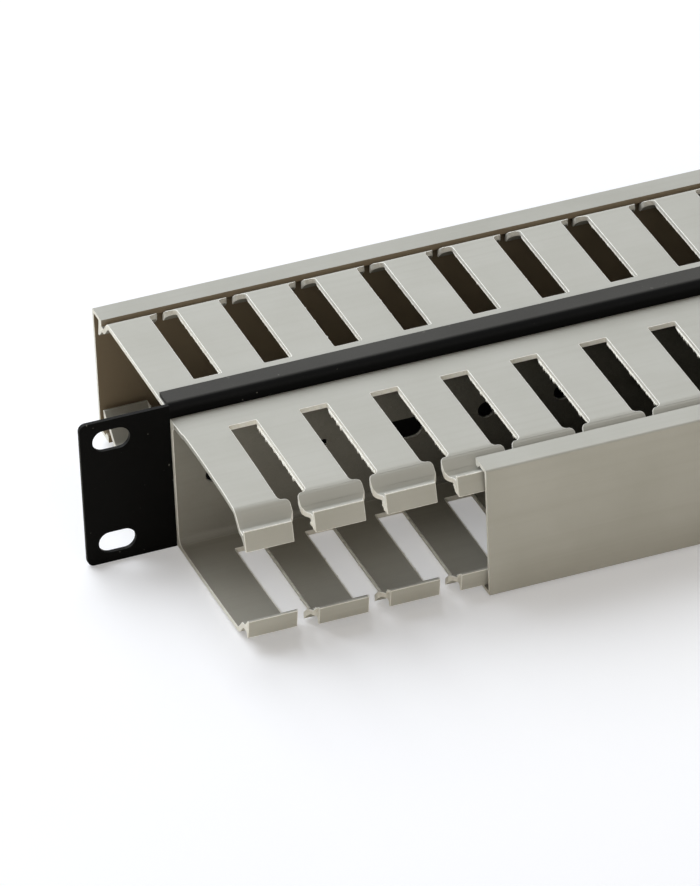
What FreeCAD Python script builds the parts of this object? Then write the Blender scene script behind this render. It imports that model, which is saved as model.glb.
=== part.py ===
"""Horizontal cable manager, one rack unit high, with a slotted duct on each side of its panel.

The frame: X runs along the panel, Z is up and the front looks towards -Y. The origin is the
centre of the rear face of the panel's ears, the face that meets the rack's rails.
A duct's and a cover's section is drawn in (depth, height): depth 0 is the duct's outer base face,
and the open side lies at a larger depth. All sizes are in millimetres.
"""
import FreeCAD, Part

import math
import os

# Rack panel, one folded sheet
PANEL_WIDTH = 482.6
PANEL_SHEET = 1.2
EAR_WIDTH = 25.3
EAR_CORNER = 2.0
FLANGE_DEPTH = 7.6
FOLD_INSIDE_RADIUS = 1.0
FLANGE_SPARE_ROOM = 1.6
RAIL_OVERLAP = 15.9

# Rack mounting slots in the ears
RACK_HOLE_FROM_EDGE = 8.75
RACK_HOLE_SPACING_Z = 31.75
RACK_SLOT_LENGTH = 10.5
RACK_SLOT_HEIGHT = 6.3

# Slotted duct, the same extrusion front and rear; duct and punching are off the middle by a little
FRONT_DUCT_SHIFT = 0.0
REAR_DUCT_SHIFT = -0.4
FRONT_PUNCH_SHIFT = 0.8
REAR_PUNCH_SHIFT = -0.7
REAR_DUCT_RAISE = 0.6
DUCT_HEIGHT = 40.0
DUCT_WALL = 1.5
DUCT_CORNER = 0.9
DUCT_INSIDE_CORNER = 0.5

# The top of a duct's wall: a bend inwards, a short flat and a lip that leans back at its outer end
RAMP_START = 47.5
RAMP_DROP = 3.7
FLAT_LENGTH = 2.6
LIP_THICKNESS = 1.1
LIP_TOP = 2.2
LIP_FOOT = 7.8
LIP_LEAN = 1.2
LIP_FOOT_THICKNESS = 0.8

# Finger slots, punched through both walls of a duct at once
SLOT_PITCH = 20.0
LEAST_END_FINGER = 10.0
SLOT_WIDTH = 7.8
FRONT_SLOT_START = 9.8
REAR_SLOT_START = 11.0
NECK_START = 47.1
NECK_GAP = 2.1
NECK_LENGTH = 3.0
LIP_GAP = 5.9
LIP_GAP_START = 52.8
SLOT_END_RADIUS = 0.9

# Straight steps that stand for each quarter turn of a punched slot, a small hole and a fastener
PUNCH_STEPS = 2
HOLE_STEPS = 3
TURNED_STEPS = 5

# Knock-through pattern along the middle of a duct's base, from its left end
BASE_PATTERN_PITCH = 100.0
BASE_PATTERN_RAISE = 0.7
ROUND_HOLE_DIAMETER = 5.0
FIRST_ROUND_HOLE = 10.3
SECOND_ROUND_HOLE = 88.2
OBROUND_LENGTH = 15.0
OBROUND_HEIGHT = 6.3
OBROUND_AT = 62.4
PIN_HOLE_DIAMETER = 2.4
PIN_HOLE_AT = 41.3
PIN_HOLE_RAISE = 2.4

# Cover that snaps over the lips, the same extrusion front and rear
COVER_SHEET = 1.1
COVER_INSET = 0.5
COVER_FLANGE = 7.4
COVER_CORNER = 0.6
COVER_INSIDE_CORNER = 0.3
COVER_FACE_GAP = 0.9
HOOK_DEPTH = 1.1
HOOK_GAP = 0.4
HOOK_THICKNESS = 1.1
FRONT_COVER_SHIFT = 66.8
REAR_COVER_SHIFT = -1.0

# Screws, washers and nuts that clamp the two ducts to the panel
SCREW_DIAMETER = 3.0
SCREW_LENGTH = 10.0
SCREW_FROM_END = 36.0
SCREW_STEP = 100.0
SCREW_HOLE_DIAMETER = 3.4
HEAD_DIAMETER = 5.6
HEAD_HEIGHT = 2.2
HEAD_CHAMFER = 0.7
CROSS_WIDTH = 0.8
CROSS_LENGTH = 3.0
CROSS_DEPTH = 1.2
WASHER_DIAMETER = 7.0
WASHER_HOLE = 3.2
WASHER_THICKNESS = 0.5
NUT_ACROSS_FLATS = 5.5
NUT_HEIGHT = 2.4
NUT_BORE = 3.1
NUT_CHAMFER = 0.35

X_AXIS = FreeCAD.Vector(1, 0, 0)
Y_AXIS = FreeCAD.Vector(0, 1, 0)
Z_AXIS = FreeCAD.Vector(0, 0, 1)
ORIGIN = FreeCAD.Vector(0, 0, 0)

# Sizes and places that follow: the ducts fill the panel between its ears, the rear duct fits
# between its flanges, and a cover is as long as its duct
PANEL_HEIGHT = DUCT_HEIGHT + FLANGE_SPARE_ROOM + 2 * PANEL_SHEET
RACK_HOLE_SPACING_X = PANEL_WIDTH - 2 * RACK_HOLE_FROM_EDGE
DUCT_LENGTH = PANEL_WIDTH - 2 * EAR_WIDTH
COVER_LENGTH = DUCT_LENGTH
SLOT_COUNT = 1 + int((DUCT_LENGTH - SLOT_WIDTH - 2 * LEAST_END_FINGER) / SLOT_PITCH)
HALF_DUCT = DUCT_HEIGHT / 2
RAMP_END = RAMP_START + RAMP_DROP
LIP_BACK = RAMP_END + FLAT_LENGTH
LIP_SLOPE = LIP_LEAN / (LIP_FOOT - LIP_TOP)
LIP_FRONT = LIP_BACK + LIP_THICKNESS + LIP_SLOPE * (LIP_FOOT - RAMP_DROP)
COVER_FACE = LIP_FRONT + COVER_FACE_GAP + COVER_SHEET
FRONT_DUCT_Z = HALF_DUCT - PANEL_HEIGHT / 2
SCREW_Z = FRONT_DUCT_Z


def corner_points(before, corner, after, radius, steps):
    """Points along the rounding of one corner, from its first tangent point to its last."""
    to_before = (before - corner).normalize()
    to_after = (after - corner).normalize()
    half_angle = to_before.getAngle(to_after) / 2
    centre = corner + (to_before + to_after).normalize() * (radius / math.sin(half_angle))
    first = corner + to_before * (radius / math.tan(half_angle)) - centre
    turn = math.degrees(math.pi - 2 * half_angle)
    if to_before.cross(to_after).z > 0:
        turn = -turn
    about = [FreeCAD.Rotation(Z_AXIS, turn * step / steps) for step in range(steps + 1)]
    return [centre + rotation.multVec(first) for rotation in about]


def rounded_face(corners, place, steps=0):
    """A flat face from (a, b, radius) corners; place turns (a, b) into a point in space.

    A round corner is an arc, or as many straight steps as asked.
    """
    flat = [FreeCAD.Vector(a, b, 0) for a, b, _ in corners]
    edges = []
    runs = []
    for index, corner in enumerate(flat):
        radius = corners[index][2]
        if radius:
            after = flat[(index + 1) % len(flat)]
            found = corner_points(flat[index - 1], corner, after, radius, steps or 2)
        else:
            found = [corner]
        runs.append([place(point.x, point.y) for point in found])
        if radius and not steps:
            edges.append(Part.Arc(*runs[-1]).toShape())
            runs[-1] = [runs[-1][0], None, runs[-1][-1]]
    points = [point for run in runs for point in run]
    for start, end in zip(points, points[1:] + points[:1]):
        if start and end and start.distanceToPoint(end) > 1e-6:
            edges.append(Part.makeLine(start, end))
    return Part.Face(Part.Wire(Part.__sortEdges__(edges)))


def mirrored_outline(upper):
    """The upper half of an outline, joined to its own mirror image below."""
    return upper + [(a, -b, radius) for a, b, radius in reversed(upper)]


def bar(outline, length):
    """An outline in (depth, height), run along X and centred; its open side looks to -Y."""
    face = rounded_face(outline, lambda depth, height: FreeCAD.Vector(-length / 2, -depth, height))
    return face.extrude(X_AXIS * length)


def obround(length, height, thickness, x, y, z, steps=0):
    """A prism with round ends, long in X, that starts at y and runs to the rear."""
    radius = height / 2
    half = length / 2
    corners = [(x + a * half, z + b * radius, radius) for a, b in ((-1, -1), (1, -1), (1, 1), (-1, 1))]
    face = rounded_face(corners, lambda a, b: FreeCAD.Vector(a, y, b), steps)
    return face.extrude(Y_AXIS * thickness)


def small_round(diameter, thickness, x, y):
    """A turned or drilled round of a fastener, at the screws' height, that runs to the rear."""
    return obround(diameter, diameter, thickness, x, y, SCREW_Z, TURNED_STEPS)


def cut_clean(shape, tools):
    """The shape less all tools, as one solid with merged faces."""
    return shape.cut(Part.Compound(tools)).removeSplitter().Solids[0]


def screw_places():
    """The X of each screw, alike from both ends of the ducts."""
    from_centre = DUCT_LENGTH / 2 - SCREW_FROM_END
    return [-from_centre, SCREW_STEP - from_centre, from_centre - SCREW_STEP, from_centre]


def screw_holes(y, depth):
    """Clearance holes for the screws, from y to the rear."""
    size = SCREW_HOLE_DIAMETER
    return [obround(size, size, depth, x, y, SCREW_Z, HOLE_STEPS) for x in screw_places()]


def flat_piece(corners):
    """A flat piece of the panel's sheet from its (x, z, radius) corners."""
    face = rounded_face(corners, lambda a, b: FreeCAD.Vector(a, -PANEL_SHEET, b))
    return face.extrude(Y_AXIS * PANEL_SHEET)


def panel():
    """The folded sheet: ears in the panel's plane, flanges bent back between them.

    A split line crosses each ear where the rack's rail ends, so the face that meets the rail
    is a face of its own.
    """
    half = PANEL_HEIGHT / 2
    fold_outside = FOLD_INSIDE_RADIUS + PANEL_SHEET
    upper = [
        (0, half, fold_outside),
        (FLANGE_DEPTH, half, 0),
        (FLANGE_DEPTH, half - PANEL_SHEET, 0),
        (PANEL_SHEET, half - PANEL_SHEET, FOLD_INSIDE_RADIUS),
    ]
    channel = rounded_face(
        mirrored_outline(upper),
        lambda depth, height: FreeCAD.Vector(-DUCT_LENGTH / 2, depth - PANEL_SHEET, height),
    ).extrude(X_AXIS * DUCT_LENGTH)
    necks = []
    rail_faces = []
    for side in (-1, 1):
        inner = side * DUCT_LENGTH / 2
        rail_edge = side * (PANEL_WIDTH / 2 - RAIL_OVERLAP)
        outer = side * PANEL_WIDTH / 2
        necks.append(flat_piece(
            [(inner, -half, 0), (rail_edge, -half, 0), (rail_edge, half, 0), (inner, half, 0)]))
        rail_faces.append(flat_piece(
            [(rail_edge, -half, 0), (outer, -half, EAR_CORNER), (outer, half, EAR_CORNER),
             (rail_edge, half, 0)]))
    slots = [
        obround(RACK_SLOT_LENGTH, RACK_SLOT_HEIGHT, PANEL_SHEET, x, -PANEL_SHEET, z)
        for x in (-RACK_HOLE_SPACING_X / 2, RACK_HOLE_SPACING_X / 2)
        for z in (-RACK_HOLE_SPACING_Z / 2, RACK_HOLE_SPACING_Z / 2)
    ]
    middle = cut_clean(channel.fuse(necks), screw_holes(-PANEL_SHEET, PANEL_SHEET))
    return middle.fuse([face.cut(Part.Compound(slots)) for face in rail_faces]).Solids[0]


def duct_outline():
    """The duct's section: base, two walls, and the bend, flat and lip at the top of each wall."""
    bend_shift = DUCT_WALL * math.tan(math.radians(22.5))
    inside = HALF_DUCT - DUCT_WALL
    lip_end = LIP_FRONT - LIP_LEAN
    foot_back = LIP_FRONT - LIP_FOOT_THICKNESS
    foot_rise = LIP_FOOT - RAMP_DROP - DUCT_WALL
    return mirrored_outline([
        (0, HALF_DUCT, DUCT_CORNER),
        (RAMP_START, HALF_DUCT, 0),
        (RAMP_END, HALF_DUCT - RAMP_DROP, 0),
        (LIP_BACK, HALF_DUCT - RAMP_DROP, 0),
        (lip_end - LIP_THICKNESS, HALF_DUCT - LIP_TOP, 0),
        (lip_end, HALF_DUCT - LIP_TOP, 0),
        (LIP_FRONT, HALF_DUCT - LIP_FOOT, 0),
        (foot_back, HALF_DUCT - LIP_FOOT, 0),
        (foot_back - foot_rise, inside - RAMP_DROP, 0),
        (RAMP_END - bend_shift, inside - RAMP_DROP, 0),
        (RAMP_START - bend_shift, inside, 0),
        (DUCT_WALL, inside, DUCT_INSIDE_CORNER),
    ])


def finger_slot(x, slot_start):
    """One punch through both walls: a square-ended slot, a narrow neck and a wider lip gap."""
    past_lip = LIP_FRONT + DUCT_WALL
    lobe_radius = (SLOT_WIDTH - NECK_GAP) / 2 - SLOT_END_RADIUS
    right = [
        (SLOT_WIDTH / 2, slot_start, 0),
        (SLOT_WIDTH / 2, NECK_START, SLOT_END_RADIUS),
        (NECK_GAP / 2, NECK_START, lobe_radius),
        (NECK_GAP / 2, NECK_START + NECK_LENGTH, 0),
        (LIP_GAP / 2, LIP_GAP_START, 0),
        (LIP_GAP / 2, past_lip, 0),
    ]
    outline = right + [(-a, depth, radius) for a, depth, radius in reversed(right)]
    face = rounded_face(
        outline, lambda a, depth: FreeCAD.Vector(x + a, -depth, -DUCT_HEIGHT), PUNCH_STEPS)
    return face.extrude(Z_AXIS * (2 * DUCT_HEIGHT))


def base_pattern():
    """Tools for the round, obround and pin holes that repeat along the middle of the base."""
    pattern = [
        (FIRST_ROUND_HOLE, BASE_PATTERN_RAISE, ROUND_HOLE_DIAMETER, ROUND_HOLE_DIAMETER),
        (PIN_HOLE_AT, PIN_HOLE_RAISE, PIN_HOLE_DIAMETER, PIN_HOLE_DIAMETER),
        (OBROUND_AT, BASE_PATTERN_RAISE, OBROUND_LENGTH, OBROUND_HEIGHT),
        (SECOND_ROUND_HOLE, BASE_PATTERN_RAISE, ROUND_HOLE_DIAMETER, ROUND_HOLE_DIAMETER),
    ]
    holes = []
    for repeat in range(int(DUCT_LENGTH / BASE_PATTERN_PITCH) + 1):
        start = repeat * BASE_PATTERN_PITCH - DUCT_LENGTH / 2
        for at, raised, length, height in pattern:
            hole = obround(length, height, DUCT_WALL, start + at, -DUCT_WALL, raised, HOLE_STEPS)
            if hole.BoundBox.XMax < DUCT_LENGTH / 2 - DUCT_WALL:
                holes.append(hole)
    return holes


def plain_duct(punch_shift, slot_start):
    """A duct about its own centre, base outer face at Y 0, open to the front."""
    first_slot = punch_shift - SLOT_PITCH * (SLOT_COUNT - 1) / 2
    slots = [finger_slot(first_slot + index * SLOT_PITCH, slot_start) for index in range(SLOT_COUNT)]
    holes = [tool.translated(X_AXIS * punch_shift) for tool in base_pattern()]
    return cut_clean(bar(duct_outline(), DUCT_LENGTH), slots + holes)


def front_duct():
    """Flush with the panel's bottom edge, its base on the panel's front face."""
    duct = plain_duct(FRONT_PUNCH_SHIFT - FRONT_DUCT_SHIFT, FRONT_SLOT_START)
    placed = duct.translated(FreeCAD.Vector(FRONT_DUCT_SHIFT, -PANEL_SHEET, FRONT_DUCT_Z))
    return cut_clean(placed, screw_holes(-PANEL_SHEET - DUCT_WALL, DUCT_WALL))


def rear_duct():
    """The same duct turned about, between the panel's flanges, its base on the rear face."""
    turned = plain_duct(REAR_DUCT_SHIFT - REAR_PUNCH_SHIFT, REAR_SLOT_START).rotated(ORIGIN, Z_AXIS, 180)
    placed = turned.translated(FreeCAD.Vector(REAR_DUCT_SHIFT, 0, REAR_DUCT_RAISE))
    return cut_clean(placed, screw_holes(0, DUCT_WALL))


def cover_outline():
    """The cover's section: face, two flanges, and a hook that sits behind each lip."""
    outside = HALF_DUCT - COVER_INSET
    edge = COVER_FACE - COVER_FLANGE
    ramp_clear = RAMP_START + HOOK_GAP * math.sqrt(2) + COVER_INSET
    inside = outside - COVER_SHEET
    hook_tip = inside - HOOK_DEPTH
    hook_start = ramp_clear + COVER_SHEET + HOOK_DEPTH
    edge_inside = outside - (edge - ramp_clear)
    return mirrored_outline([
        (COVER_FACE, outside, COVER_CORNER),
        (edge, outside, 0),
        (edge, edge_inside, 0),
        (hook_start, hook_tip, 0),
        (hook_start + HOOK_THICKNESS, hook_tip, 0),
        (hook_start + HOOK_THICKNESS + HOOK_DEPTH, inside, 0),
        (COVER_FACE - COVER_SHEET, inside, COVER_INSIDE_CORNER),
    ])


def front_cover(cover):
    """Slid to the right, so that the front duct's left end is open."""
    return cover.translated(FreeCAD.Vector(FRONT_COVER_SHIFT, -PANEL_SHEET, FRONT_DUCT_Z))


def rear_cover(cover):
    """Closed over the rear duct."""
    turned = cover.rotated(ORIGIN, Z_AXIS, 180)
    return turned.translated(FreeCAD.Vector(REAR_COVER_SHIFT, 0, REAR_DUCT_RAISE))


def fixing_screw(x, y):
    """Pan head with a cross recess; y is the plane under the head, the shank runs to the rear."""
    head = small_round(HEAD_DIAMETER, HEAD_HEIGHT, x, y - HEAD_HEIGHT)
    rim = [edge for edge in head.Edges if abs(edge.CenterOfMass.y - (y - HEAD_HEIGHT)) < 1e-6]
    head = head.makeChamfer(HEAD_CHAMFER, rim)
    shank = small_round(SCREW_DIAMETER, SCREW_LENGTH, x, y)
    recess = []
    for width, height in ((CROSS_WIDTH, CROSS_LENGTH), (CROSS_LENGTH, CROSS_WIDTH)):
        corner = FreeCAD.Vector(x - width / 2, y - HEAD_HEIGHT, SCREW_Z - height / 2)
        recess.append(Part.makeBox(width, CROSS_DEPTH, height, corner))
    return cut_clean(head.fuse(shank).removeSplitter(), recess)


def washer(x, y):
    """A flat washer whose front face is at y."""
    disc = small_round(WASHER_DIAMETER, WASHER_THICKNESS, x, y)
    return cut_clean(disc, [small_round(WASHER_HOLE, WASHER_THICKNESS, x, y)])


def fixing_nut(x, y):
    """A hexagon nut whose front face is at y, its corners chamfered at the rear."""
    radius = NUT_ACROSS_FLATS / math.sqrt(3)
    corners = []
    for index in range(6):
        turn = math.radians(60 * index)
        corners.append((x + radius * math.cos(turn), SCREW_Z + radius * math.sin(turn), 0))
    block = rounded_face(corners, lambda a, b: FreeCAD.Vector(a, y, b)).extrude(Y_AXIS * NUT_HEIGHT)
    cone_height = NUT_HEIGHT + NUT_CHAMFER
    start = FreeCAD.Vector(x, y, SCREW_Z)
    cone = Part.makeCone(radius + NUT_HEIGHT, radius - NUT_CHAMFER, cone_height, start, Y_AXIS)
    return cut_clean(block.common(cone), [small_round(NUT_BORE, NUT_HEIGHT, x, y)])


def fasteners():
    """Four sets, each with a screw, a washer at either end of the clamped stack and a nut."""
    front_base = -PANEL_SHEET - DUCT_WALL
    pieces = {}
    for number, x in enumerate(screw_places(), start=1):
        pieces[f"fixing_screw_{number}"] = fixing_screw(x, front_base - WASHER_THICKNESS)
        pieces[f"head_washer_{number}"] = washer(x, front_base - WASHER_THICKNESS)
        pieces[f"nut_washer_{number}"] = washer(x, DUCT_WALL)
        pieces[f"fixing_nut_{number}"] = fixing_nut(x, DUCT_WALL + WASHER_THICKNESS)
    return pieces


def main():
    cover = bar(cover_outline(), COVER_LENGTH)
    pieces = {
        "panel": panel(),
        "front_duct": front_duct(),
        "rear_duct": rear_duct(),
        "front_cover": front_cover(cover),
        "rear_cover": rear_cover(cover),
    }
    pieces.update(fasteners())
    os.makedirs("parts", exist_ok=True)
    for name, shape in pieces.items():
        assert shape.isValid() and len(shape.Solids) == 1, name
        shape.exportStep(f"parts/{name}.step")
        print(f"{name}: {shape.Volume:.0f} mm3")


main()
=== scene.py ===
"""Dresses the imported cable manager: its ducts get soft bends, torn slot edges and bent fingers.

Sizes are in millimetres unless a heading says otherwise. A duct's sizes are the CAD source's, but
its bends have radii of their own and its lips are thinner here. A duct is drawn about its own
centre in (x, depth, z): depth 0 is the base's outer face and the lips are at the largest depth.
"""

import math
import random

import bmesh
import bpy
from mathutils import Matrix, Vector, noise


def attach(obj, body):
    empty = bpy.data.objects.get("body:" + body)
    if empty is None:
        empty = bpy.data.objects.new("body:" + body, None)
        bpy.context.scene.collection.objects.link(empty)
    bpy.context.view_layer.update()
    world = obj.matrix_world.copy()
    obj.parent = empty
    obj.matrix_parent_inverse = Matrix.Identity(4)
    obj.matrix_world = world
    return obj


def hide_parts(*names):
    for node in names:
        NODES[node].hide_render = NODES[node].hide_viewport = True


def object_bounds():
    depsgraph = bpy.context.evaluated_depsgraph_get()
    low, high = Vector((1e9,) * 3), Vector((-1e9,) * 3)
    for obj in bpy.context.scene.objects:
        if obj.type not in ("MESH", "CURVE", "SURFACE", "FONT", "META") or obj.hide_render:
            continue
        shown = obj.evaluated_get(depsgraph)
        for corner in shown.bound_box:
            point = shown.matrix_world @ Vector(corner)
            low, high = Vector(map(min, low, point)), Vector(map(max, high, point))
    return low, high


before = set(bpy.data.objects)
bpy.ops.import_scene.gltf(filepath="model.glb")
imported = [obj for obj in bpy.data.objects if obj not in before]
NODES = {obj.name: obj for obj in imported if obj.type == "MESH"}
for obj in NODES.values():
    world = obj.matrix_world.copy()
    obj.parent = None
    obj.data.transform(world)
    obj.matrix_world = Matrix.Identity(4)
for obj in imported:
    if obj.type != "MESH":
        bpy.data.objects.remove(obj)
CAD_LOW, CAD_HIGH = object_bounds()
MM = 0.001

# The ducts' places, and how far the punched pattern and the screws stand off their centres
FRONT_DUCT = (0.0, -1.2, -2.0)
REAR_DUCT = (-0.4, 0.0, 0.6)
FRONT_PUNCH = 0.8
REAR_PUNCH = -0.7
SCREW_HEIGHT = -2.0

# A duct's section
DUCT_LENGTH = 432.0
HALF_LENGTH = DUCT_LENGTH / 2
HALF_DUCT = 20.0
WALL = 1.5
RAMP_START = 47.5
RAMP_END = 51.2
RAMP_DROP = 3.7
RAMP_ANGLE = 45.0
LIP_BACK = 53.8
LIP_THICKNESS = 0.8
LIP_FRONT = 55.78
LIP_LEAN = 1.2
LIP_TOP = 2.2
LIP_FOOT = 7.8
LIP_FOOT_THICKNESS = 0.8

# The radii of its bends
FRONT_CORNER = 0
REAR_CORNER = 0.9
INSIDE_CORNER = 2.2
RAMP_BEND = 3.6
RAMP_FOOT_BEND = 0.8
RAMP_FOOT_INSIDE_BEND = 2.0
GROOVE_BEND = 0.4
LIP_EDGE_BEND = 0.2
LIP_INSIDE_BEND = 0.5

# Its slots
SLOT_COUNT = 21
SLOT_PITCH = 20.0
SLOT_WIDTH = 7.8
FRONT_SLOT_START = 9.8
REAR_SLOT_START = 11.0
SLOT_CORNER = 0.35
SHOULDER_BEND = 1.3
NECK_START = 47.1
NECK_GAP = 2.1
NECK_LENGTH = 3.0
NECK_BACK_BEND = 1.5
NECK_FRONT_BEND = 1.2
LIP_GAP = 5.9
LIP_GAP_START = 52.8
LIP_GAP_BEND = 1.0
PAST_LIP = 3.0

# The holes in its base
PATTERN_PITCH = 100.0
PATTERN_RAISE = 0.7
ROUND_HOLES = (10.3, 88.2)
ROUND_HOLE_SIZE = 5.0
OBROUND_AT = 62.4
OBROUND_SIZE = (15.0, 6.3)
PIN_HOLE_AT = 41.3
PIN_HOLE_RAISE = 2.4
PIN_HOLE_SIZE = 2.4
SCREW_FROM_END = 36.0
SCREW_STEP = 100.0
SCREW_HOLE_SIZE = 3.4

# How far the tips of the open fingers are bent inwards, from the left end, and the others at most
BENT_UPPER = (1.5, 0.4, 0.15, 0.1)
BENT_LOWER = (1.4, 0.35, 0.4, 0.0)
BENT_OTHERS = 0.25
BEND_POWER = 1.7

# The fingers' slope along X at most, and the height off the middle from where fingers bend
TWIST = 0.006
TWIST_POWER = 2
FINGERS_ABOVE = 8.0

# Where the walls are cut across so that they can bend: from the slots' start, and along the ramp
BEND_CUT_START = 4.0
BEND_CUT_STEP = 5.0
BEND_CUTS = 7
RAMP_CUTS = (48.6, 49.4, 50.1, 50.7, 51.4, 52.6)

# The open end of the first upper finger is trimmed back, less before the nick and near the lip
TRIM = 0.72
TRIM_START = 3.0
TRIM_REACH = 7.0
TRIM_NICK = 9.0
TRIM_BEFORE_NICK = 0.6
TRIM_CUTS = (TRIM_START, TRIM_START + 2, TRIM_START + 4, TRIM_NICK - 0.7, TRIM_NICK, TRIM_NICK + 2.5)
TRIM_FADE_START = 40.0
TRIM_FADE_LENGTH = 16.0
TRIM_FADE = 0.5

# Worn edges and torn fringes
EDGE_ROUND = 0.2
SHARP = math.radians(38)
BURR_STEP = 0.3
BURR_FADE = 2
TORN_SIDE = (0.8, 1.2)
CLEAN_SIDE = (0.25, 0.5)
LIP_BURR = 1.3
BURR_FROM_START = 0.8
BURR_FROM_NECK = 1.6
BURR_FROM_FOOT = 0.2
ROUGH_PER_MM = 3.0
TUFTS_PER_MM = 1.3

# Seeds of each duct's bends and burrs
FRONT_SEEDS = (11, 22)
REAR_SEEDS = (12, 21)

# Material slots of a duct, and the last one of a cover
SKIN_FACE = 0
CUT_FACE = 1
# The edge slot holds the light line along cuts: rubbed plastic and partly a painted highlight
EDGE_FACE = 2
# The inside and base slots, and a cover's last slot, take darker copies of the plastic: painted shade
INSIDE_FACE = 3
BASE_FACE = 4
COVER_INSIDE_FACE = 2

# Screen colours of the plastic's dark lines, its body and its light patches; the inside and base tones are
# darker copies of it, painted shade
SKIN_TONES = ((174, 172, 164), (180, 179, 172), (188, 187, 181))
# The rear cover's tones are a darker copy of the skin: painted shade
REAR_SKIN_SHADED_TONES = ((166, 164, 156), (172, 171, 164), (180, 179, 173))
INSIDE_SHADED_TONES = ((150, 147, 138), (156, 153, 144), (163, 160, 152))
BASE_SHADED_TONES = ((130, 128, 121), (136, 133, 126), (142, 140, 133))
# Painted shade that ambient occlusion lays deep inside, and how far it looks
BASE_PAINTED_SHADE = (52, 50, 42)
DEEP_PAINTED_SHADE = (136, 121, 100)
PAINTED_SHADE_REACH = 80 * MM

# Floor and light, in metres
FLOOR_HALF = 4.0
FLOOR_GAP = 0.00005
FLOOR_LIFT = 0.28
FLOOR_BOUNCE = (0.98, 0.94, 0.86, 1.0)
WORLD_LEVEL = 0.09
WORLD_COLOUR = (1.0, 0.88, 0.70, 1.0)
LIGHT_TARGET = Vector((-0.1, 0.0, 0.0))
OVERHEAD_AT = (-0.75, 1.5, 1.85)
OVERHEAD_SIZE = 2.5
OVERHEAD_LEVEL = 1.39
OVERHEAD_COLOUR = (0.94, 0.98, 1.0)
LOW_FRONT_AT = (-0.4, -1.7, 0.65)
LOW_FRONT_SIZE = 1.6
LOW_FRONT_LEVEL = 0.326
LOW_FRONT_COLOUR = (1.0, 0.95, 0.86)

# The camera solved from the photograph: degrees, metres, and a lens in millimetres on a 36 mm sensor
CAMERA_AZIMUTH = -19.684
CAMERA_ELEVATION = 32.2
CAMERA_ROLL = -2.527
CAMERA_DISTANCE = 1.9816
CAMERA_LENS = 380.98
CAMERA_SENSOR = 36
CAMERA_TARGET = Vector((-165.93, -1.58, -2.40)) * MM


# Mesh helpers

def rounded(corners, steps):
    """Points of a closed outline from (a, b, radius) corners."""
    points = []
    for index, (a, b, radius) in enumerate(corners):
        corner = Vector((a, b))
        if not radius:
            points.append(corner)
            continue
        before = (Vector(corners[index - 1][:2]) - corner).normalized()
        after = (Vector(corners[(index + 1) % len(corners)][:2]) - corner).normalized()
        half = before.angle(after) / 2
        reach = radius / math.tan(half)
        centre = corner + (before + after).normalized() * (radius / math.sin(half))
        start = corner + before * reach - centre
        turn = start.angle_signed(corner + after * reach - centre)
        for step in range(steps + 1):
            angle = -turn * step / steps
            points.append(centre + Vector((
                start.x * math.cos(angle) - start.y * math.sin(angle),
                start.x * math.sin(angle) + start.y * math.cos(angle))))
    return points


def prism(bm, outline, locate, low, high, material=SKIN_FACE):
    """A closed prism; locate gives the place in space of an outline's point at a distance along."""
    ends = [[bm.verts.new(locate(point, along)) for point in outline] for along in (low, high)]
    count = len(outline)
    faces = [bm.faces.new(ends[0]), bm.faces.new(ends[1][::-1])]
    for index in range(count):
        after = (index + 1) % count
        faces.append(bm.faces.new((ends[0][after], ends[0][index], ends[1][index], ends[1][after])))
    for face in faces:
        face.material_index = material


def new_object(name, bm, materials):
    """An object made of the mesh, which is used up."""
    bmesh.ops.recalc_face_normals(bm, faces=bm.faces)
    mesh = bpy.data.meshes.new(name)
    bm.to_mesh(mesh)
    bm.free()
    for material in materials:
        mesh.materials.append(material)
    obj = bpy.data.objects.new(name, mesh)
    bpy.context.scene.collection.objects.link(obj)
    return obj


def bake_modifiers(obj):
    """Replaces the object's mesh by what its modifiers make of it."""
    bpy.context.view_layer.update()
    evaluated = obj.evaluated_get(bpy.context.evaluated_depsgraph_get())
    mesh = bpy.data.meshes.new_from_object(evaluated)
    obj.modifiers.clear()
    obj.data = mesh


def held(value, low, high):
    """The value, held between two limits."""
    return min(max(value, low), high)


# Materials

def linear(red, green, blue):
    """Scene colour from 0 to 255 screen values."""
    return tuple(
        (value / 255 / 12.92) if value <= 10 else ((value / 255 + 0.055) / 1.055) ** 2.4
        for value in (red, green, blue)) + (1.0,)


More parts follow.
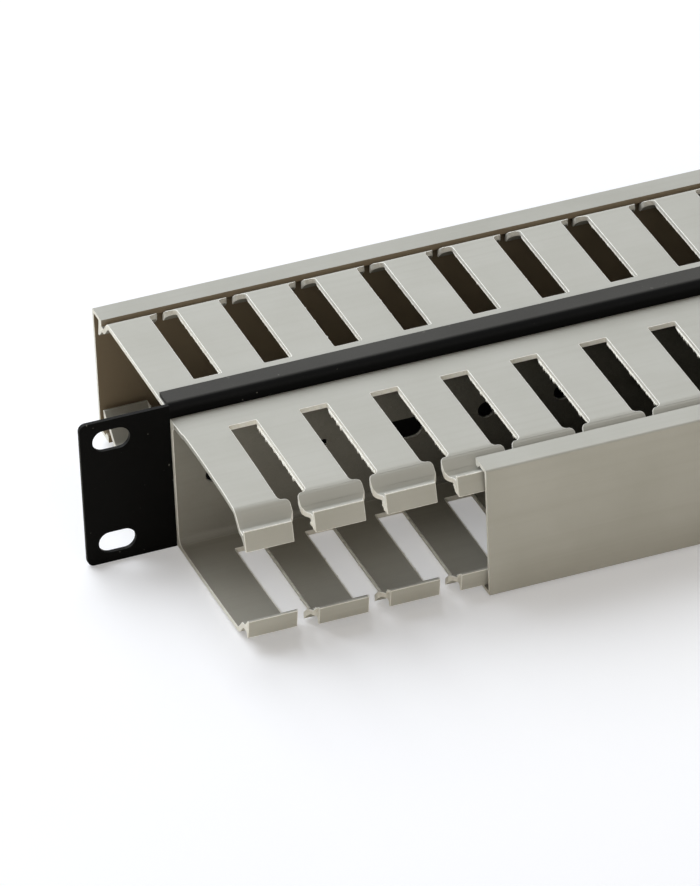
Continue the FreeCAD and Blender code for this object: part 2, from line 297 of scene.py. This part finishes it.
class Shader:
    """A few shorthands for building a node material."""

    def __init__(self, name, metallic=0.0, specular=0.5):
        self.material = bpy.data.materials.new(name)
        self.material.use_nodes = True
        self.tree = self.material.node_tree
        self.surface = self.tree.nodes["Principled BSDF"]
        self.surface.inputs["Metallic"].default_value = metallic
        self.surface.inputs["Specular IOR Level"].default_value = specular
        self.coordinates = self.node("ShaderNodeTexCoord").outputs["Object"]
        self.normal = None

    def node(self, kind, **settings):
        made = self.tree.nodes.new(kind)
        for key, value in settings.items():
            setattr(made, key, value)
        return made

    def link(self, source, target):
        self.tree.links.new(source, target)

    def noise(self, per_metre, detail=3.0, roughness=0.55, offset=0.0):
        mapping = self.node("ShaderNodeMapping")
        mapping.inputs["Scale"].default_value = per_metre
        mapping.inputs["Location"].default_value = (offset, offset * 0.7, offset * 1.3)
        self.link(self.coordinates, mapping.inputs["Vector"])
        texture = self.node("ShaderNodeTexNoise")
        texture.inputs["Scale"].default_value = 1.0
        texture.inputs["Detail"].default_value = detail
        texture.inputs["Roughness"].default_value = roughness
        self.link(mapping.outputs["Vector"], texture.inputs["Vector"])
        return texture.outputs["Fac"]

    def spread(self, value, low, high, from_low=0.3, from_high=0.7):
        made = self.node("ShaderNodeMapRange")
        made.inputs["From Min"].default_value = from_low
        made.inputs["From Max"].default_value = from_high
        made.inputs["To Min"].default_value = low
        made.inputs["To Max"].default_value = high
        self.link(value, made.inputs["Value"])
        return made.outputs["Result"]

    def mix(self, amount, first, second):
        made = self.node("ShaderNodeMix", data_type="RGBA")
        for value, socket in ((amount, made.inputs[0]), (first, made.inputs[6]), (second, made.inputs[7])):
            if hasattr(value, "links"):
                self.link(value, socket)
            else:
                socket.default_value = value
        return made.outputs[2]

    def bump(self, height, distance, strength=1.0):
        made = self.node("ShaderNodeBump")
        made.inputs["Distance"].default_value = distance
        made.inputs["Strength"].default_value = strength
        self.link(height, made.inputs["Height"])
        if self.normal:
            self.link(self.normal, made.inputs["Normal"])
        self.normal = made.outputs["Normal"]

    def finish(self, colour, roughness):
        self.link(colour, self.surface.inputs["Base Color"])
        self.link(roughness, self.surface.inputs["Roughness"])
        if self.normal:
            self.link(self.normal, self.surface.inputs["Normal"])
        return self.material


def pvc_skin(name, tones, satin, painted_shade=None, hidden=0.0, open_air=1.0):
    """Satin extruded plastic: soft mottling, faint lines along X, a fine grain, and painted shade that
    ambient occlusion darkens towards a given colour deep inside.
    """
    shader = Shader(name, specular=0.3)
    dark, middle, light = (linear(*tone) for tone in tones)
    mottle = shader.noise((45, 45, 45), detail=4)
    lines = shader.noise((9, 620, 620), detail=2, offset=3.1)
    grain = shader.noise((2600, 2600, 2600), detail=2, offset=7.7)
    colour = shader.mix(shader.spread(mottle, 0, 1), middle, light)
    colour = shader.mix(shader.spread(lines, 0, 0.3, 0.45, 0.75), colour, dark)
    # Painted shade: ambient occlusion darkens the colour towards the shade colour in hollows and under the
    # covers
    if painted_shade:
        reach = shader.node("ShaderNodeAmbientOcclusion", samples=16)
        reach.inputs["Distance"].default_value = PAINTED_SHADE_REACH
        unshaded = shader.spread(reach.outputs["AO"], 0, 1, hidden, open_air)
        colour = shader.mix(unshaded, linear(*painted_shade), colour)
    shader.bump(lines, 0.00005, 0.25)
    shader.bump(grain, 0.00002, 0.35)
    return shader.finish(colour, shader.spread(grain, satin, satin + 0.14))


def pvc_cut():
    """Torn, whitened plastic on punched and sawn faces, streaked along the punch."""
    shader = Shader("pvc_cut", specular=0.3)
    tear = shader.noise((900, 900, 500), detail=4, roughness=0.65)
    patches = shader.noise((260, 260, 180), detail=3, offset=5.2)
    colour = shader.mix(shader.spread(patches, 0, 1), linear(240, 237, 229), linear(250, 249, 244))
    colour = shader.mix(shader.spread(tear, 0, 0.45, 0.52, 0.75), colour, linear(206, 202, 191))
    shader.bump(tear, 0.00018, 0.7)
    return shader.finish(colour, shader.spread(tear, 0.7, 0.9))


def pvc_rubbed_edge_and_highlight():
    """The thin light line where a face turns into a cut: partly rubbed, whitened plastic and partly a
    painted highlight.
    """
    shader = Shader("pvc_rubbed_edge_and_highlight", specular=0.45)
    wear = shader.noise((420, 420, 420), detail=3, offset=2.4)
    colour = shader.mix(shader.spread(wear, 0, 1, 0.35, 0.6), linear(238, 235, 228), linear(252, 251, 247))
    shader.bump(wear, 0.00003, 0.3)
    return shader.finish(colour, shader.spread(wear, 0.45, 0.65))


def powder_coat():
    """Black powder coat: a fine orange peel, specks, and a light grey on the upper flange's up-facing
    faces, partly a thin film of dust and partly painted sheen.
    """
    shader = Shader("black_powder_coat", specular=0.07)
    peel = shader.noise((1500, 1500, 1500), detail=2)
    cloud = shader.noise((30, 30, 30), detail=3, offset=4.4)
    specks = shader.noise((700, 700, 700), detail=1, offset=9.1)
    geometry = shader.node("ShaderNodeNewGeometry")
    up = shader.node("ShaderNodeSeparateXYZ")
    position = shader.node("ShaderNodeSeparateXYZ")
    shader.link(geometry.outputs["True Normal"], up.inputs[0])
    shader.link(geometry.outputs["Position"], position.inputs[0])
    colour = shader.mix(shader.spread(cloud, 0, 1), linear(3, 3, 3), linear(6, 6, 6))
    # Up-facing flange faces turn light grey: dust and painted sheen
    dust_and_sheen = shader.mix(shader.spread(cloud, 0, 1), linear(64, 63, 61), linear(73, 72, 70))
    facing_up = shader.spread(up.outputs["Z"], 0, 1, 0.2, 0.95)
    on_flange = shader.spread(position.outputs["Y"], 0, 1, 0.0, 0.001)
    dust_and_sheen_mask = shader.node("ShaderNodeMath", operation="MULTIPLY")
    shader.link(facing_up, dust_and_sheen_mask.inputs[0])
    shader.link(on_flange, dust_and_sheen_mask.inputs[1])
    colour = shader.mix(dust_and_sheen_mask.outputs[0], colour, dust_and_sheen)
    colour = shader.mix(shader.spread(specks, 0, 0.55, 0.76, 0.8), colour, linear(120, 118, 112))
    shader.bump(peel, 0.00004, 0.5)
    return shader.finish(colour, shader.spread(peel, 0.42, 0.56))


def zinc_steel():
    """Zinc plated steel, slightly clouded."""
    shader = Shader("zinc_steel", metallic=1.0)
    cloud = shader.noise((500, 500, 500), detail=3)
    colour = shader.mix(shader.spread(cloud, 0, 1), linear(182, 182, 178), linear(214, 213, 206))
    shader.bump(cloud, 0.00002, 0.3)
    return shader.finish(colour, shader.spread(cloud, 0.28, 0.45))


SKIN = pvc_skin("pvc_skin", SKIN_TONES, 0.42)
# A darker copy of the skin for the rear cover: painted shade
REAR_SKIN_SHADED = pvc_skin("pvc_rear_cover_shaded", REAR_SKIN_SHADED_TONES, 0.42)
# Darker copies of the plastic for the duct's inside and base: painted shade
INSIDE_SHADED = pvc_skin("pvc_inside_shaded", INSIDE_SHADED_TONES, 0.5)
# These two also get painted shade from ambient occlusion
BASE_SHADED = pvc_skin("pvc_base_inside_shaded", BASE_SHADED_TONES, 0.5, BASE_PAINTED_SHADE, 0.13, 0.34)
DEEP_SHADED = pvc_skin("pvc_deep_inside_shaded", INSIDE_SHADED_TONES, 0.5, DEEP_PAINTED_SHADE, 0.44, 0.66)
CUT = pvc_cut()
RUBBED_EDGE_AND_HIGHLIGHT = pvc_rubbed_edge_and_highlight()
COAT = powder_coat()
ZINC = zinc_steel()


# The ducts

def duct_outline(corner):
    """The section with its real soft bends: an upper half and the same turned over."""
    inside = HALF_DUCT - WALL
    shift = WALL * math.tan(math.radians(RAMP_ANGLE / 2))
    lip_end = LIP_FRONT - LIP_LEAN
    foot_back = LIP_FRONT - LIP_FOOT_THICKNESS
    foot_rise = LIP_FOOT - RAMP_DROP - WALL
    upper = [
        (0, HALF_DUCT, corner),
        (RAMP_START, HALF_DUCT, RAMP_BEND),
        (RAMP_END, HALF_DUCT - RAMP_DROP, RAMP_FOOT_BEND),
        (LIP_BACK, HALF_DUCT - RAMP_DROP, GROOVE_BEND),
        (lip_end - LIP_THICKNESS, HALF_DUCT - LIP_TOP, LIP_EDGE_BEND),
        (lip_end, HALF_DUCT - LIP_TOP, 0),
        (LIP_FRONT, HALF_DUCT - LIP_FOOT, 0),
        (foot_back, HALF_DUCT - LIP_FOOT, LIP_EDGE_BEND),
        (foot_back - foot_rise, inside - RAMP_DROP, LIP_INSIDE_BEND),
        (RAMP_END - shift, inside - RAMP_DROP, RAMP_FOOT_INSIDE_BEND),
        (RAMP_START - shift, inside, RAMP_BEND - WALL),
        (WALL, inside, INSIDE_CORNER),
    ]
    return rounded(upper + [(depth, -z, radius) for depth, z, radius in reversed(upper)], 4)


def slot_outline(slot_start):
    """One punch: a square-ended slot whose front end swells into the fingers' round shoulders."""
    right = [
        (SLOT_WIDTH / 2, slot_start, SLOT_CORNER),
        (SLOT_WIDTH / 2, NECK_START, SHOULDER_BEND),
        (NECK_GAP / 2, NECK_START, NECK_BACK_BEND),
        (NECK_GAP / 2, NECK_START + NECK_LENGTH, NECK_FRONT_BEND),
        (LIP_GAP / 2, LIP_GAP_START, LIP_GAP_BEND),
        (LIP_GAP / 2, LIP_FRONT + PAST_LIP, 0),
    ]
    return rounded(right + [(-x, depth, radius) for x, depth, radius in reversed(right)], 7)


def slot_centres(punch_shift):
    """Where the slots' middles lie along X."""
    first = punch_shift - SLOT_PITCH * (SLOT_COUNT - 1) / 2
    return [first + index * SLOT_PITCH for index in range(SLOT_COUNT)]


def hole(bm, x, z, length, height):
    """A round or obround tool through the base."""
    half = length / 2
    radius = height / 2 - 1e-4
    corners = [(x + a * half, z + b * height / 2, radius) for a, b in ((-1, -1), (1, -1), (1, 1), (-1, 1))]
    outline = rounded(corners, 8)
    prism(bm, outline, lambda point, depth: (point.x, -depth, point.y), -1.0, WALL + 1.0, CUT_FACE)


def duct_tools(slot_start, punch_shift, screw_shift, screw_z):
    """All of a duct's slots and holes as one cutting mesh."""
    bm = bmesh.new()
    outline = slot_outline(slot_start)
    past_walls = HALF_DUCT + 10
    for centre in slot_centres(punch_shift):
        prism(
            bm, outline, lambda point, z: (centre + point.x, -point.y, z), -past_walls, past_walls,
            CUT_FACE)
    for repeat in range(int(DUCT_LENGTH / PATTERN_PITCH) + 1):
        start = repeat * PATTERN_PITCH - HALF_LENGTH + punch_shift
        holes = [(at, PATTERN_RAISE, ROUND_HOLE_SIZE, ROUND_HOLE_SIZE) for at in ROUND_HOLES]
        holes.append((PIN_HOLE_AT, PIN_HOLE_RAISE, PIN_HOLE_SIZE, PIN_HOLE_SIZE))
        holes.append((OBROUND_AT, PATTERN_RAISE) + OBROUND_SIZE)
        for at, raised, length, height in holes:
            if start + at + length / 2 < HALF_LENGTH - WALL + punch_shift:
                hole(bm, start + at, raised, length, height)
    from_centre = HALF_LENGTH - SCREW_FROM_END
    for x in (-from_centre, SCREW_STEP - from_centre, from_centre - SCREW_STEP, from_centre):
        hole(bm, x + screw_shift, screw_z, SCREW_HOLE_SIZE, SCREW_HOLE_SIZE)
    return new_object("duct_tools", bm, [SKIN, CUT])


class Bends:
    """How far each finger's tip is bent inwards and turned."""

    def __init__(self, seed, slot_start, punch_shift, upper=(), lower=()):
        maker = random.Random(seed)
        self.start = slot_start
        self.first = slot_centres(punch_shift)[0]
        self.tips = {}
        for side, known in ((1, upper), (-1, lower)):
            for number in range(SLOT_COUNT + 1):
                tip = known[number] if number < len(known) else maker.uniform(0.0, BENT_OTHERS)
                self.tips[side, number] = (tip, maker.uniform(-TWIST, TWIST))

    def moved(self, x, depth, z):
        """The point's height after its finger is bent."""
        if depth <= self.start or abs(z) < FINGERS_ABOVE:
            return z
        side = 1 if z > 0 else -1
        number = held(math.ceil((x - self.first) / SLOT_PITCH), 0, SLOT_COUNT)
        tip, twist = self.tips[side, number]
        along = (depth - self.start) / (LIP_FRONT - self.start)
        middle = self.first + (number - 0.5) * SLOT_PITCH
        return z - side * tip * along ** BEND_POWER + (x - middle) * twist * along ** TWIST_POWER


def trimmed(depth):
    """How far the trimmed end stands back at a depth."""
    if depth <= TRIM_START:
        return 0.0
    inset = TRIM * (1 - math.exp((TRIM_START - depth) / TRIM_REACH))
    if depth < TRIM_NICK:
        inset *= TRIM_BEFORE_NICK
    return inset * (1 - TRIM_FADE * held((depth - TRIM_FADE_START) / TRIM_FADE_LENGTH, 0.0, 1.0))


def punch(duct, tools):
    """Cuts the tools' mesh out of the duct."""
    cut = duct.modifiers.new("punch", "BOOLEAN")
    cut.operation = "DIFFERENCE"
    cut.solver = "EXACT"
    cut.object = tools
    bake_modifiers(duct)
    bpy.data.objects.remove(tools)


def bend(duct, bends, trim):
    """Cuts the walls across at several depths, bends the fingers and marks the edges that wear."""
    bm = bmesh.new()
    bm.from_mesh(duct.data)
    bmesh.ops.remove_doubles(bm, verts=bm.verts, dist=0.004)
    depths = [bends.start + BEND_CUT_START + BEND_CUT_STEP * step for step in range(BEND_CUTS)]
    for depth in depths + list(RAMP_CUTS) + (list(TRIM_CUTS) if trim else []):
        geometry = bm.verts[:] + bm.edges[:] + bm.faces[:]
        bmesh.ops.bisect_plane(bm, geom=geometry, dist=0.001, plane_co=(0, -depth, 0), plane_no=(0, 1, 0))
    for vertex in bm.verts:
        x = held(vertex.co.x, -HALF_LENGTH, HALF_LENGTH)
        if trim and x < 0.01 - HALF_LENGTH and vertex.co.z > HALF_DUCT / 2:
            x += trimmed(-vertex.co.y)
        z = bends.moved(x, -vertex.co.y, vertex.co.z)
        vertex.co = (x, vertex.co.y, held(z, -HALF_DUCT, HALF_DUCT))
    for face in bm.faces:
        face.smooth = True
    mark_worn_edges(bm)
    bm.to_mesh(duct.data)
    bm.free()


def mark_worn_edges(bm):
    """Gives every sharp edge a bevel weight, but not those of the holes in the base."""
    weight = bm.edges.layers.float.new("bevel_weight_edge")
    for edge in bm.edges:
        middle = (edge.verts[0].co + edge.verts[1].co) / 2
        off_ends = abs(middle.x) < HALF_LENGTH - 0.1
        in_base = -middle.y < WALL + 0.01 and abs(middle.z) < HALF_DUCT / 2 and off_ends
        if not in_base and edge.calc_face_angle(0.0) > SHARP:
            edge[weight] = 1.0


def wear_edges(duct):
    """Rounds the marked edges and keeps the duct within its height."""
    soften = duct.modifiers.new("edges", "BEVEL")
    soften.width = EDGE_ROUND
    soften.segments = 2
    soften.limit_method = "WEIGHT"
    soften.use_clamp_overlap = False
    # The rounded faces take the light edge material: rubbed plastic and a painted highlight
    soften.material = EDGE_FACE
    duct.modifiers.new("normals", "WEIGHTED_NORMAL").weight = 80
    bake_modifiers(duct)
    for vertex in duct.data.vertices:
        vertex.co.z = held(vertex.co.z, -HALF_DUCT, HALF_DUCT)


def paint(duct):
    """Gives the sawn ends their own material, and the inner faces darker copies of the plastic, painted
    shade.
    """
    for polygon in duct.data.polygons:
        depth, z = -polygon.center.y, abs(polygon.center.z)
        sawn = abs(polygon.normal.x) > 0.98 and abs(abs(polygon.center.x) - HALF_LENGTH) < 0.05
        inner = WALL - 0.1 < depth < LIP_BACK and z < HALF_DUCT - WALL + 0.3
        if sawn:
            polygon.material_index = CUT_FACE
        elif polygon.material_index == SKIN_FACE and inner:
            if depth < WALL + INSIDE_CORNER + 0.1 and polygon.normal.y < -0.2:
                polygon.material_index = BASE_FACE
            elif polygon.normal.z * polygon.center.z < -0.5:
                polygon.material_index = INSIDE_FACE


def build_duct(name, bends, corner, trim, punch_shift, screw_shift, screw_z):
    """Extrudes, punches, bends and wears one duct about its own centre."""
    bm = bmesh.new()
    prism(bm, duct_outline(corner), lambda point, x: (x, -point.x, point.y), -HALF_LENGTH, HALF_LENGTH)
    duct = new_object(name, bm, [SKIN, CUT, RUBBED_EDGE_AND_HIGHLIGHT, INSIDE_SHADED, BASE_SHADED])
    punch(duct, duct_tools(bends.start, punch_shift, screw_shift, screw_z))
    bend(duct, bends, trim)
    wear_edges(duct)
    paint(duct)
    return duct


def build_burrs(name, bends, punch_shift, seed):
    """Torn fringes of plastic along the inner edges of each slot and of the lips beside it."""
    maker = random.Random(seed)
    inner = HALF_DUCT - WALL
    foot = LIP_FRONT - LIP_FOOT_THICKNESS
    slope = LIP_FOOT - RAMP_DROP - WALL
    slot_run = (
        Vector((bends.start + BURR_FROM_START, inner)),
        Vector((NECK_START - BURR_FROM_NECK, inner)))
    lip_run = (
        Vector((foot - slope, inner - RAMP_DROP)),
        Vector((foot - BURR_FROM_FOOT, HALF_DUCT - LIP_FOOT + BURR_FROM_FOOT)))
    bm = bmesh.new()
    for centre in slot_centres(punch_shift):
        for wall in (1, -1):
            for side in (1, -1):
                amount = maker.uniform(*(TORN_SIDE if side > 0 else CLEAN_SIDE))
                slot_edge = centre + side * SLOT_WIDTH / 2
                lip_edge = centre + side * LIP_GAP / 2
                fringe(bm, bends, slot_edge, wall, side, slot_run, amount, maker)
                fringe(bm, bends, lip_edge, wall, side, lip_run, amount * LIP_BURR, maker)
    burrs = new_object(name, bm, [CUT])
    for polygon in burrs.data.polygons:
        polygon.use_smooth = True
    return burrs


def fringe(bm, bends, x, wall, side, run, amount, maker):
    """A ragged strip along one edge: a low seam of torn plastic with tufts here and there."""
    start, end = run
    length = (end - start).length
    along = (end - start) / length
    into = Vector((-along.y, along.x))
    phase = maker.uniform(0, 500)
    rings = []
    gone = 0.0
    while gone < length:
        fade = min(1.0, (gone + 0.6) / BURR_FADE, (length - gone + 0.4) / BURR_FADE)
        rough = 0.5 + 0.5 * noise.noise(Vector((phase, gone * ROUGH_PER_MM, 0.0)))
        tuft = max(0.0, noise.noise(Vector((phase + 40, gone * TUFTS_PER_MM, 3.0))) - 0.05) * 1.6
        out = fade * amount * (0.12 + 0.3 * rough + 0.4 * tuft)
        drop = fade * amount * (0.08 + 0.3 * rough + 0.5 * tuft)
        ring = []
        for a, b in ((0.06, 0.35), (-out, 0.25 + 0.1 * rough), (-out * 0.7, -drop), (0.3, -0.03)):
            spot = start + along * gone + into * b
            z = bends.moved(x, spot.x, wall * spot.y)
            ring.append(bm.verts.new((x + side * a, -spot.x, z)))
        rings.append(ring)
        gone += BURR_STEP * maker.uniform(0.7, 1.3)
    for first, second in zip(rings, rings[1:]):
        for index in range(4):
            after = (index + 1) % 4
            bm.faces.new((first[index], first[after], second[after], second[index]))
    bm.faces.new(rings[0][::-1])
    bm.faces.new(rings[-1])


def put_in_frame(obj, spot, turned):
    """Puts a mesh drawn in millimetres about the duct's centre into the frame."""
    turn = Matrix.Rotation(math.pi if turned else 0.0, 4, "Z")
    obj.data.transform(Matrix.Scale(MM, 4) @ Matrix.Translation(spot) @ turn)
    obj.data.update()


def dress_duct(side, spot, punch_at, corner, turned, slot_start, seeds, upper=(), lower=()):
    """Builds one duct and its burrs, and puts them where the CAD duct stands."""
    sense = -1 if turned else 1
    punch_shift = sense * (punch_at - spot[0])
    bends = Bends(seeds[0], slot_start, punch_shift, upper, lower)
    shell = build_duct(
        f"{side}_duct_shell", bends, corner, not turned, punch_shift, -sense * spot[0],
        SCREW_HEIGHT - spot[2])
    burrs = build_burrs(f"{side}_duct_burrs", bends, punch_shift, seeds[1])
    for piece in (shell, burrs):
        put_in_frame(piece, spot, turned)
        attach(piece, "panel_and_ducts")
    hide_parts(f"{side}_duct")


# The CAD pieces that stay

def dress(name, materials):
    """Gives a CAD piece its materials in place of what it came with."""
    obj = NODES[name]
    obj.data.materials.clear()
    for material in materials:
        obj.data.materials.append(material)
    return obj


def dress_cover(name, outside, inside):
    """A cover's outer faces are those on its hull, its ends are sawn, and the rest is inside, with a
    darker inside material, painted shade.
    """
    cover = dress(name, [outside, CUT, inside])
    places = [cover.matrix_world @ vertex.co for vertex in cover.data.vertices]
    low_z, high_z = min(p.z for p in places), max(p.z for p in places)
    face_y = max((p.y for p in places), key=abs)
    for polygon in cover.data.polygons:
        centre = cover.matrix_world @ polygon.center
        outer = min(centre.z - low_z, high_z - centre.z, abs(face_y - centre.y)) < 0.5 * MM
        if abs(polygon.normal.x) > 0.9:
            polygon.material_index = CUT_FACE
        elif not outer:
            polygon.material_index = COVER_INSIDE_FACE


def dress_fixings():
    """The screws, washers and nuts are all plated alike."""
    for name in NODES:
        if name.startswith(("fixing_", "head_washer", "nut_washer")):
            dress(name, [ZINC])


# Floor, light and camera

def make_floor():
    """A pale floor, lifted a little for the camera alone so that it fades into the background."""
    bm = bmesh.new()
    bmesh.ops.create_grid(bm, x_segments=1, y_segments=1, size=FLOOR_HALF)
    shader = Shader("floor", specular=0.2)
    wear = shader.noise((6, 6, 6))
    path = shader.node("ShaderNodeLightPath")
    seen = shader.mix(shader.spread(wear, 0, 1), linear(226, 226, 232), linear(229, 229, 233))
    colour = shader.mix(path.outputs["Is Camera Ray"], FLOOR_BOUNCE, seen)
    shader.finish(colour, shader.spread(wear, 0.85, 0.9))
    glow = shader.node("ShaderNodeEmission")
    glow.inputs["Color"].default_value = (1.0, 1.0, 1.0, 1.0)
    level = shader.node("ShaderNodeMath", operation="MULTIPLY")
    level.inputs[1].default_value = FLOOR_LIFT
    shader.link(path.outputs["Is Camera Ray"], level.inputs[0])
    shader.link(level.outputs[0], glow.inputs["Strength"])
    both = shader.node("ShaderNodeAddShader")
    shader.link(shader.surface.outputs[0], both.inputs[0])
    shader.link(glow.outputs[0], both.inputs[1])
    shader.link(both.outputs[0], shader.tree.nodes["Material Output"].inputs["Surface"])
    floor = new_object("floor", bm, [shader.material])
    floor.location = (0, 0, CAD_LOW.z - FLOOR_GAP)


def make_world():
    """A dim warm surround that looks white to the camera and in reflections."""
    world = bpy.data.worlds.new("studio")
    bpy.context.scene.world = world
    world.use_nodes = True
    tree = world.node_tree
    background = tree.nodes["Background"]
    background.inputs["Color"].default_value = WORLD_COLOUR
    background.inputs["Strength"].default_value = WORLD_LEVEL
    white = tree.nodes.new("ShaderNodeBackground")
    white.inputs["Color"].default_value = (1, 1, 1, 1)
    path = tree.nodes.new("ShaderNodeLightPath")
    shown = tree.nodes.new("ShaderNodeMath")
    shown.operation = "MAXIMUM"
    mix = tree.nodes.new("ShaderNodeMixShader")
    tree.links.new(path.outputs["Is Camera Ray"], shown.inputs[0])
    tree.links.new(path.outputs["Is Glossy Ray"], shown.inputs[1])
    tree.links.new(shown.outputs[0], mix.inputs[0])
    tree.links.new(background.outputs[0], mix.inputs[1])
    tree.links.new(white.outputs[0], mix.inputs[2])
    tree.links.new(mix.outputs[0], tree.nodes["World Output"].inputs["Surface"])


def make_light(name, spot, size, level, colour):
    """A square soft box whose level is about what it adds on a surface that faces it."""
    light = bpy.data.lights.new(name, "AREA")
    light.shape = "SQUARE"
    light.size = size
    back = Vector(spot) - LIGHT_TARGET
    light.energy = level * math.pi * math.pi * back.length ** 2
    light.color = colour
    obj = bpy.data.objects.new(name, light)
    obj.location = spot
    obj.rotation_euler = back.to_track_quat("Z", "Y").to_euler()
    bpy.context.scene.collection.objects.link(obj)


def make_camera():
    """The camera looks at its target from the solved direction, turned a little about that line."""
    azimuth = math.radians(CAMERA_AZIMUTH)
    elevation = math.radians(CAMERA_ELEVATION)
    roll = math.radians(CAMERA_ROLL)
    back = Vector((
        math.sin(azimuth) * math.cos(elevation),
        -math.cos(azimuth) * math.cos(elevation),
        math.sin(elevation)))
    right = Vector((math.cos(azimuth), math.sin(azimuth), 0))
    up = back.cross(right)
    rolled_right = math.cos(roll) * right + math.sin(roll) * up
    rolled_up = -math.sin(roll) * right + math.cos(roll) * up
    data = bpy.data.cameras.new("camera")
    data.sensor_fit = "HORIZONTAL"
    data.sensor_width = CAMERA_SENSOR
    data.lens = CAMERA_LENS
    data.clip_start = 0.05
    camera = bpy.data.objects.new("camera", data)
    turn = Matrix((rolled_right, rolled_up, back)).transposed().to_4x4()
    camera.matrix_world = Matrix.Translation(CAMERA_TARGET + CAMERA_DISTANCE * back) @ turn
    bpy.context.scene.collection.objects.link(camera)
    bpy.context.scene.camera = camera


dress_duct(
    "front", FRONT_DUCT, FRONT_PUNCH, FRONT_CORNER, False, FRONT_SLOT_START, FRONT_SEEDS,
    BENT_UPPER, BENT_LOWER)
dress_duct("rear", REAR_DUCT, REAR_PUNCH, REAR_CORNER, True, REAR_SLOT_START, REAR_SEEDS)
dress("panel", [COAT])
dress_cover("front_cover", SKIN, INSIDE_SHADED)
dress_cover("rear_cover", REAR_SKIN_SHADED, DEEP_SHADED)
dress_fixings()
make_floor()
make_world()
make_light("overhead", OVERHEAD_AT, OVERHEAD_SIZE, OVERHEAD_LEVEL, OVERHEAD_COLOUR)
make_light("low_front", LOW_FRONT_AT, LOW_FRONT_SIZE, LOW_FRONT_LEVEL, LOW_FRONT_COLOUR)
make_camera()

scene = bpy.context.scene
scene.view_settings.view_transform = "Standard"
